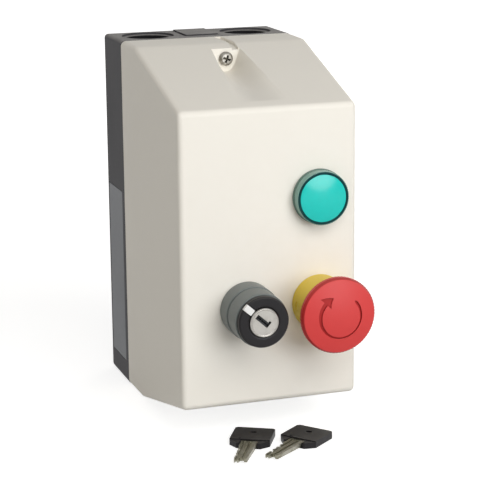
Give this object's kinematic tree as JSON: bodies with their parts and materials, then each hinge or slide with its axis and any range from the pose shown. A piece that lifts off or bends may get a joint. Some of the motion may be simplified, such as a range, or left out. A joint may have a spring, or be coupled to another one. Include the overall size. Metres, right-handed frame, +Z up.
{
  "type": "enclosed motor starter",
  "caption": "Enclosed magnetic motor starter: plastic wall box with a sloped cover, pilot light, key selector and mushroom emergency stop, with a contactor and overload relay inside.",
  "frame": {"origin": "centre of the rear face of the box, which goes against the wall", "axes": "+X to the right seen from the front, +Y from the front into the wall, +Z up the box"},
  "size_m": [0.099, 0.1841, 0.1976],
  "materials": {
    "graphite_plastic": "satin moulded",
    "cream_plastic": "satin moulded",
    "label_grey": "blank printed film",
    "dark_plastic": "fine matt",
    "pale_plastic": "fine matt",
    "black_plastic": "satin",
    "white_plastic": "satin",
    "collar_grey": "satin",
    "red_plastic": "semi-gloss",
    "yellow_plastic": "semi-gloss",
    "blue_plastic": "semi-gloss",
    "green_lens": "clear tinted",
    "dark_green_ring": "clear tinted",
    "black_rubber": "matt",
    "zinc_steel": "zinc plated",
    "lock_chrome": "polished",
    "copper": "bright",
    "brass": "bright"
  },
  "bodies": {
    "enclosure": {"rear_housing": "graphite_plastic", "side_label": "label_grey", "cover_gasket": "black_rubber", "contactor_base": "dark_plastic", "contactor_housing": "pale_plastic", "fixed_core": "zinc_steel", "coil": "copper", "return_spring": "zinc_steel", "contactor_fixing_1": "zinc_steel", "contactor_fixing_2": "zinc_steel", "overload_housing": "dark_plastic", "coil_lead": "blue_plastic", "line_terminal_1": "brass", "line_terminal_2": "brass", "line_terminal_3": "brass", "load_terminal_1": "brass", "load_terminal_2": "brass", "load_terminal_3": "brass", "link_pin_1": "copper", "link_pin_2": "copper", "link_pin_3": "copper", "bimetal_1": "zinc_steel", "bimetal_2": "zinc_steel", "bimetal_3": "zinc_steel"},
    "cover": {"front_cover": "cream_plastic", "pilot_bezel": "dark_green_ring", "pilot_lens": "green_lens", "pilot_collar": "dark_plastic", "pilot_lamp": "dark_plastic", "key_bezel": "collar_grey", "key_collar": "dark_plastic", "key_contact_block": "dark_plastic", "estop_bezel": "yellow_plastic", "estop_collar": "dark_plastic", "estop_contact_block": "dark_plastic", "estop_spring": "zinc_steel", "control_jumper": "collar_grey", "pilot_lead": "collar_grey"},
    "screw_top": {"cover_screw_top": "zinc_steel"},
    "screw_bottom": {"cover_screw_bottom": "zinc_steel"},
    "estop_stem": {"estop_stem": "black_plastic"},
    "estop_head": {"estop_head": "red_plastic"},
    "estop_plunger": {"estop_contact_plunger": "red_plastic"},
    "key_rotor": {"key_rotor": "black_plastic", "key_pointer": "white_plastic", "lock_cylinder": "lock_chrome"},
    "key_plunger": {"key_contact_plunger": "white_plastic"},
    "armature": {"armature": "zinc_steel", "contact_carrier": "black_plastic", "moving_contact_1": "copper", "moving_contact_2": "copper", "moving_contact_3": "copper"},
    "dial": {"current_dial": "white_plastic"},
    "reset": {"reset_button": "blue_plastic"},
    "relay_stop": {"stop_button": "red_plastic"},
    "key_1": {"key_1_bow": "black_plastic", "key_1_blade": "zinc_steel"},
    "key_2": {"key_2_bow": "black_plastic", "key_2_blade": "zinc_steel"}
  },
  "joints": [
    {"name": "cover_pull", "type": "slide", "parent": "enclosure", "child": "cover", "axis": [0, -1, 0], "range_m": [0, 0.05]},
    {"name": "cover_screw_top_turn", "type": "hinge", "parent": "cover", "child": "screw_top", "pos_m": [0, -0.0744, 0.0907], "axis": [0, 1, 0], "continuous": true},
    {"name": "cover_screw_bottom_turn", "type": "hinge", "parent": "cover", "child": "screw_bottom", "pos_m": [0, -0.0744, -0.0907], "axis": [0, 1, 0], "continuous": true},
    {"name": "estop_push", "type": "slide", "parent": "cover", "child": "estop_stem", "axis": [0, 1, 0], "range_m": [0, 0.0055], "stiffness_N_per_m": 2000, "deforming": ["estop_spring"]},
    {"name": "estop_turn", "type": "hinge", "parent": "estop_stem", "child": "estop_head", "pos_m": [0.0269, -0.1753, -0.0297], "axis": [0, 1, 0], "range_deg": [0, 45], "stiffness_Nm_per_rad": 0.06},
    {"name": "estop_contact", "type": "slide", "parent": "cover", "child": "estop_plunger", "axis": [0, 1, 0], "range_m": [0, 0.006]},
    {"name": "key_turn", "type": "hinge", "parent": "cover", "child": "key_rotor", "pos_m": [-0.0128, -0.17, -0.0297], "axis": [0, 1, 0], "range_deg": [0, 90]},
    {"name": "key_contact", "type": "slide", "parent": "cover", "child": "key_plunger", "axis": [0, 1, 0], "range_m": [0, 0.0045]},
    {"name": "contactor_pull_in", "type": "slide", "parent": "enclosure", "child": "armature", "axis": [0, 1, 0], "range_m": [0, 0.005], "stiffness_N_per_m": 900, "deforming": ["return_spring"]},
    {"name": "dial_turn", "type": "hinge", "parent": "enclosure", "child": "dial", "pos_m": [-0.011, -0.078, -0.028], "axis": [0, 1, 0], "range_deg": [-120, 120]},
    {"name": "reset_press", "type": "slide", "parent": "enclosure", "child": "reset", "axis": [0, 1, 0], "range_m": [0, 0.0025], "stiffness_N_per_m": 800},
    {"name": "relay_stop_press", "type": "slide", "parent": "enclosure", "child": "relay_stop", "axis": [0, 1, 0], "range_m": [0, 0.0025], "stiffness_N_per_m": 800},
    {"name": "key_1_draw", "type": "slide", "parent": "enclosure", "child": "key_1", "axis": [-1, 0, 0], "range_m": [0, 0.08]},
    {"name": "key_2_draw", "type": "slide", "parent": "enclosure", "child": "key_2", "axis": [1, 0, 0], "range_m": [0, 0.08]}
  ],
  "couplings": [
    {"joint": "estop_contact", "follows": "estop_push", "ratio": 1},
    {"joint": "key_contact", "follows": "key_turn", "m_per_rad": 0.0025465}
  ]
}
